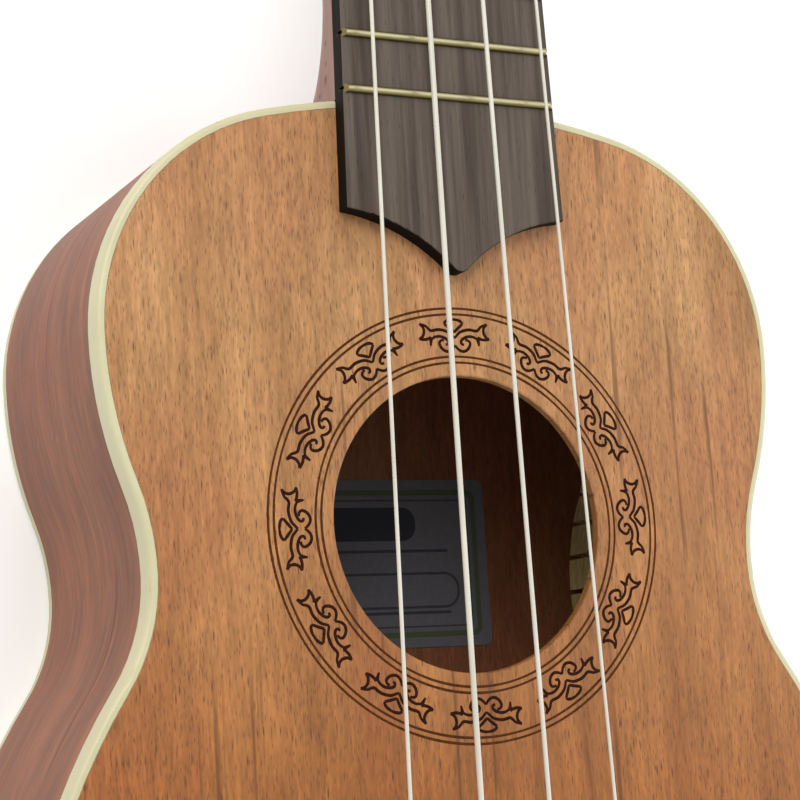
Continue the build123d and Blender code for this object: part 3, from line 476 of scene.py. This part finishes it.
def paint_woods():
    """The soundboard, sides, back, neck and the bare wood inside."""
    # The soundboard's tail tint is painted shade, darker towards the tail.
    top = wood("top_mahogany", light=(0.395, 0.208, 0.085), dark=(0.285, 0.139, 0.050),
               red=(0.325, 0.143, 0.058), pore=(0.092, 0.035, 0.014), coat=0.06, tail_shade=(0.69, 0.42, 0.13))
    side = wood("side_mahogany", light=(0.222, 0.072, 0.026), dark=(0.158, 0.048, 0.017),
                red=(0.196, 0.055, 0.022), pore=(0.075, 0.028, 0.018), grain="ring", pores=0.35,
                contrast=1.5, roughness=0.5, coat=0.05)
    # The back's inside tint is painted shade on its inner face, inside the body.
    back = wood("back_mahogany", light=(0.235, 0.100, 0.052), dark=(0.175, 0.072, 0.037),
                red=(0.205, 0.076, 0.043), pore=(0.07, 0.028, 0.016), pores=0.7, lines=0.15,
                roughness=0.44, inside=(0.94, 0.80, 0.64))
    neck = wood("neck_mahogany", light=(0.262, 0.134, 0.087), dark=(0.205, 0.102, 0.066),
                red=(0.240, 0.108, 0.073), pore=(0.06, 0.026, 0.016), pores=0.6, roughness=0.46, coat=0.1)
    spruce = wood("inner_spruce", light=(0.40, 0.30, 0.13), dark=(0.34, 0.25, 0.10),
                  red=(0.37, 0.26, 0.12), pore=(0.20, 0.12, 0.05), pores=0.2, roughness=0.7, coat=0.0)
    # Painted light: the linings take a brighter copy of the inner spruce, so they look lit inside the body.
    lining = wood("lit_lining_spruce", light=(0.80, 0.64, 0.28), dark=(0.70, 0.54, 0.22),
                  red=(0.74, 0.56, 0.25), pore=(0.34, 0.22, 0.09), pores=0.2, roughness=0.7, coat=0.0)
    paint(top, "top_plate")
    paint(side, "side_bass", "side_treble")
    paint(back, "back_plate")
    paint(neck, "neck")
    paint(spruce, "neck_block", "tail_block", "neck_dowels", "bridge_patch", "top_brace_upper",
          "top_brace_lower", "back_brace_upper", "back_brace_lower")
    paint(lining, "top_lining_bass", "top_lining_treble", "back_lining_bass", "back_lining_treble")


def paint_fittings():
    """The edge strips, fretboard, bridge, strings, label and machines."""
    # The edge colour is the pores' colour and the painted shade on the sides of the board and the bridge.
    board = dark_wood("board_rosewood", light=(0.097, 0.077, 0.062), dark=(0.056, 0.043, 0.035),
                      edge=(0.006, 0.004, 0.003))
    bridge = dark_wood("bridge_rosewood", light=(0.075, 0.048, 0.034), dark=(0.038, 0.025, 0.018),
                       edge=(0.014, 0.009, 0.007), grain="X")
    steel = metal("nickel_plate", (0.66, 0.65, 0.63), 0.22)
    brass = metal("turned_brass", (0.70, 0.52, 0.24), 0.28)
    paint(binding_material(), "top_binding", "back_binding")
    paint(board, "fretboard")
    paint(bridge, "bridge")
    paint(fret_material(), "frets")
    paint(pearl_material("marker_pearl", 900), "fret_markers")
    paint(bone_material(), "nut", "saddle")
    paint(string_material(), *each("string"), *each("winding"))
    paint(label_material(), "label")
    paint(steel, "bushings", "plate_screws", *each("tuner_plate"), *each("tuner_post"), *each("gear_screw"),
          *each("worm_shaft"))
    paint(brass, *each("tuner_gear"))
    paint(pearl_material("button_pearl", 260), *each("tuner_button"))


# ------------------------------------------------------------------ mesh pieces
def mesh_piece(name, vertices, faces, material, slot, body="root"):
    """A smooth-shaded mesh object that rides on a body."""
    mesh = bpy.data.meshes.new(name)
    mesh.from_pydata([tuple(v) for v in vertices], [], faces)
    mesh.update()
    piece = bpy.data.objects.new(name, mesh)
    bpy.context.scene.collection.objects.link(piece)
    mesh.materials.append(material)
    for polygon in mesh.polygons:
        polygon.use_smooth = True
    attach(piece, body)


def smooth_path(points, steps):
    """Catmull-Rom curve through flat points, as a list of points."""
    ends = [points[0], *points, points[-1]]
    spots = []
    for a, b, c, d in zip(ends, ends[1:], ends[2:], ends[3:]):
        a, b, c, d = Vector(a), Vector(b), Vector(c), Vector(d)
        for step in range(steps):
            t = step / steps
            spots.append(0.5 * (2 * b + (c - a) * t + (2 * a - 5 * b + 4 * c - d) * t * t
                                + (3 * b - a - 3 * c + d) * t ** 3))
    spots.append(Vector(points[-1]))
    return spots


# A ribbon's cross-section, in half widths across and thicknesses up
RIBBON_SECTION = ((-1.0, 0.0), (-0.55, 0.8), (0.0, 1.0), (0.55, 0.8), (1.0, 0.0), (0.0, -1.0))


def ribbon(path, widths, z, thickness, closed=False):
    """A thin raised line along a flat path, with a width for each point. Returns vertices and faces."""
    vertices, faces = [], []
    count, sides = len(path), len(RIBBON_SECTION)
    for i, (spot, width) in enumerate(zip(path, widths)):
        before = path[i - 1] if i or closed else path[0]
        after = path[(i + 1) % count] if i + 1 < count or closed else path[-1]
        along = (after - before).normalized()
        across = Vector((-along.y, along.x))
        for u, v in RIBBON_SECTION:
            flat = spot + across * (u * width / 2)
            vertices.append((flat.x, flat.y, z + v * thickness))
    spans = count if closed else count - 1
    for i in range(spans):
        j = (i + 1) % count
        for k in range(sides):
            m = (k + 1) % sides
            faces.append((i * sides + k, j * sides + k, j * sides + m, i * sides + m))
    if not closed:
        faces.append(tuple(range(sides)))
        faces.append(tuple((count - 1) * sides + k for k in reversed(range(sides))))
    return vertices, faces


def joined(parts):
    """Joins several vertex and face lists into one."""
    vertices, faces = [], []
    for part_vertices, part_faces in parts:
        offset = len(vertices)
        vertices += part_vertices
        faces += [tuple(i + offset for i in face) for face in part_faces]
    return vertices, faces


# ------------------------------------------------------------------ rosette, sizes in mm
RING_RADII = (28.65, 29.72, 37.40, 38.48)       # two pairs of thin rings
RING_STEPS = 240
LINE_WIDTH = 0.44
LINE_WAVER = 0.05
LINE_RISE = 0.022
MOTIF_RADIUS = 33.5
MOTIF_COUNT = 12
MOTIF_START = 91.2          # degrees, the first motif's place: all of them sit a little past the hour
SCROLL_WIDTH = 0.46
SCROLL_SWELL = 0.12
FIN_WIDTH = 1.0
FIN_TAPER = 0.65

# Right half of the scroll ornament: along the ring, and outwards from the middle of the band
STROKES = [
    [(0.0, 0.60), (0.85, 1.40), (1.75, 2.20)],
    [(1.75, 2.20), (1.45, 2.60), (0.80, 2.88), (0.0, 2.98)],
    [(0.0, -0.42), (0.45, 0.0), (1.1, 0.62), (2.0, 1.02), (3.1, 1.25), (4.35, 1.18), (4.85, 1.55),
     (5.3, 2.15), (6.35, 2.75)],
    [(6.35, 2.75), (5.85, 2.05), (5.8, 1.3), (6.1, 0.65), (6.5, 0.3), (7.1, 0.12)],
    [(7.1, 0.12), (6.4, -0.12), (5.7, -0.2), (5.05, -0.1), (4.75, 0.12)],
    [(4.6, -0.3), (3.9, -0.02), (3.1, 0.02), (2.3, -0.2), (1.6, -0.62), (1.32, -1.1), (1.5, -1.5),
     (1.95, -1.52)],
    [(2.2, -0.72), (2.75, -0.75), (3.2, -1.15), (3.1, -1.8), (2.6, -2.45), (1.8, -2.8), (1.0, -2.65),
     (0.4, -2.2), (0.0, -1.72)],
]
FIN = [(4.66, 0.05), (4.86, -0.6), (5.12, -1.5)]


def round_hole(radius, angle):
    """A flat point at a radius in mm and an angle round the sound hole."""
    reach = radius * MM
    return Vector((HOLE.x + reach * math.cos(angle), HOLE.y + reach * math.sin(angle)))


def bent_path(points, steps, side, angle):
    """A stroke of the ornament, bent round the hole; side is 1, or -1 for its mirror image."""
    curve = smooth_path(points, steps)
    return [round_hole(MOTIF_RADIUS + p.y, angle - side * p.x / MOTIF_RADIUS) for p in curve]


def ring_line(radius):
    """One thin ring whose width wavers a little."""
    path = [round_hole(radius, math.tau * i / RING_STEPS) for i in range(RING_STEPS)]
    waver = [LINE_WAVER * math.sin(0.19 * i) * math.sin(0.043 * i) for i in range(RING_STEPS)]
    return ribbon(path, [(LINE_WIDTH + w) * MM for w in waver], TOP_Z, LINE_RISE * MM, closed=True)


def scroll_half(side, angle):
    """Half of one motif: its strokes, which swell in the middle, and its tapering fin."""
    lines = []
    for stroke in STROKES:
        path = bent_path(stroke, 6, side, angle)
        last = len(path) - 1
        swell = [SCROLL_SWELL * math.sin(math.pi * i / last) for i in range(len(path))]
        lines.append(ribbon(path, [(SCROLL_WIDTH + w) * MM for w in swell], TOP_Z, LINE_RISE * MM))
    path = bent_path(FIN, 5, side, angle)
    last = len(path) - 1
    widths = [(FIN_WIDTH - FIN_TAPER * i / last) * MM for i in range(len(path))]
    lines.append(ribbon(path, widths, TOP_Z, LINE_RISE * MM))
    return lines


def make_rosette():
    """Four thin rings and a band of mirrored scrolls, all as fine scorched lines on the soundboard."""
    ring = burnt_material("burnt_ring", (0.034, 0.010, 0.003), (0.095, 0.032, 0.009))
    scroll = burnt_material("burnt_scroll", (0.011, 0.003, 0.0015), (0.038, 0.011, 0.005))
    rings = [ring_line(radius) for radius in RING_RADII]
    mesh_piece("rosette_rings", *joined(rings), ring, "top_wood")

    lines = []
    for number in range(MOTIF_COUNT):
        angle = math.radians(MOTIF_START + 360 * number / MOTIF_COUNT)
        lines += scroll_half(1, angle) + scroll_half(-1, angle)
    mesh_piece("rosette_scrolls", *joined(lines), scroll, "top_wood")


# ------------------------------------------------------------------ glue lines along the binding
GLUE_WIDTH = 0.16 * MM
GLUE_RISE_TOP = 0.012 * MM
GLUE_RISE_BACK = 0.002 * MM
BODY_MIDDLE_Y = HOLE.y - 20 * MM    # every outline point is seen from here at an angle of its own
BEYOND_HOLE = 1.3 * HOLE_RADIUS     # outline points are further from the hole's centre than this


def outline_loop(node, z):
    """The outer corner points of a plate at one height, in order round the body."""
    points = {}
    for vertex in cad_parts[node].data.vertices:
        spot = vertex.co
        away = math.hypot(spot.x - HOLE.x, spot.y - HOLE.y)
        if abs(spot.z - z) < SAME_HEIGHT and away > BEYOND_HOLE:
            points[(round(spot.x, 6), round(spot.y, 6))] = Vector((spot.x, spot.y))
    return sorted(points.values(), key=lambda p: math.atan2(p.y - BODY_MIDDLE_Y, p.x))


def make_glue_lines():
    """Thin dark lines where the bindings meet both plates."""
    material = glue_material()
    for name, node, z, rise in (("glue_line_top", "top_plate", TOP_Z, GLUE_RISE_TOP),
                                ("glue_line_back", "back_plate", 0.0, GLUE_RISE_BACK)):
        loop = outline_loop(node, z)
        line = ribbon(loop, [GLUE_WIDTH] * len(loop), z, rise, closed=True)
        mesh_piece(name, *line, material, "binding")


# ------------------------------------------------------------------ stage
FLOOR_HALF = 6.0
FLOOR_GAP = 0.05 * MM       # the floor lies this far under the back


def make_floor():
    """A plain pale flat floor that reaches past every view."""
    corners = [(-FLOOR_HALF, -FLOOR_HALF, 0), (FLOOR_HALF, -FLOOR_HALF, 0),
               (FLOOR_HALF, FLOOR_HALF, 0), (-FLOOR_HALF, FLOOR_HALF, 0)]
    mesh = bpy.data.meshes.new("floor")
    mesh.from_pydata(corners, [], [(0, 1, 2, 3)])
    floor = bpy.data.objects.new("floor", mesh)
    bpy.context.scene.collection.objects.link(floor)
    floor.location.z = -FLOOR_GAP
    material, tree, shader = new_material("floor_white")
    soft = noise(tree, coordinates(tree), 3, detail=2)
    finish(tree, shader, ramp(tree, soft, (0.3, 0.86), (0.7, 0.88)), 0.9)
    mesh.materials.append(material)


def area_light(name, place, size, power, colour):
    """A soft square light at a place, pointed at the sound hole."""
    light = bpy.data.lights.new(name, "AREA")
    light.size = size
    light.energy = power
    light.color = colour
    lamp = bpy.data.objects.new(name, light)
    bpy.context.scene.collection.objects.link(lamp)
    lamp.location = place
    lamp.rotation_euler = (HOLE - Vector(place)).to_track_quat("-Z", "Y").to_euler()


def make_lights():
    """Soft studio light: a pale world, a large lamp above and a weaker one from the treble side."""
    world = bpy.data.worlds.new("studio")
    bpy.context.scene.world = world
    world.use_nodes = True
    background = world.node_tree.nodes["Background"]
    background.inputs["Color"].default_value = (1.0, 1.0, 1.0, 1.0)
    background.inputs["Strength"].default_value = 0.9
    area_light("key_light", (-0.45, 0.65, 1.0), 0.9, 13.0, (1.0, 0.98, 0.95))
    area_light("fill_light", (1.1, -0.3, 0.6), 1.0, 7.0, (0.97, 0.98, 1.0))


CAMERA_FROM_HOLE = Vector((-173.8, -35.9, 321.5)) * MM
AIM_FROM_HOLE = Vector((-12.3, 21.7, 0.0)) * MM
CAMERA_UP = Vector((-0.015, 0.986, 0.169))
LENS = 93.7                 # mm
SENSOR_WIDTH = 36.0         # mm
NEAREST = 10 * MM


def make_camera():
    """The camera looks down past the bass side of the hole, with the neck running up the picture."""
    camera = bpy.data.objects.new("camera", bpy.data.cameras.new("camera"))
    bpy.context.scene.collection.objects.link(camera)
    camera.data.lens = LENS
    camera.data.sensor_width = SENSOR_WIDTH
    camera.data.clip_start = NEAREST
    camera.location = HOLE + CAMERA_FROM_HOLE
    back = (CAMERA_FROM_HOLE - AIM_FROM_HOLE).normalized()
    right = CAMERA_UP.cross(back).normalized()
    camera.rotation_euler = Matrix((right, back.cross(right), back)).transposed().to_euler()
    bpy.context.scene.camera = camera


def set_view():
    """Plain display transform, so that pale things stay pale."""
    bpy.context.scene.view_settings.view_transform = "Standard"
    bpy.context.scene.view_settings.look = "None"


make_camera()
make_lights()
make_floor()
set_view()
paint_woods()
paint_fittings()
make_rosette()
make_glue_lines()
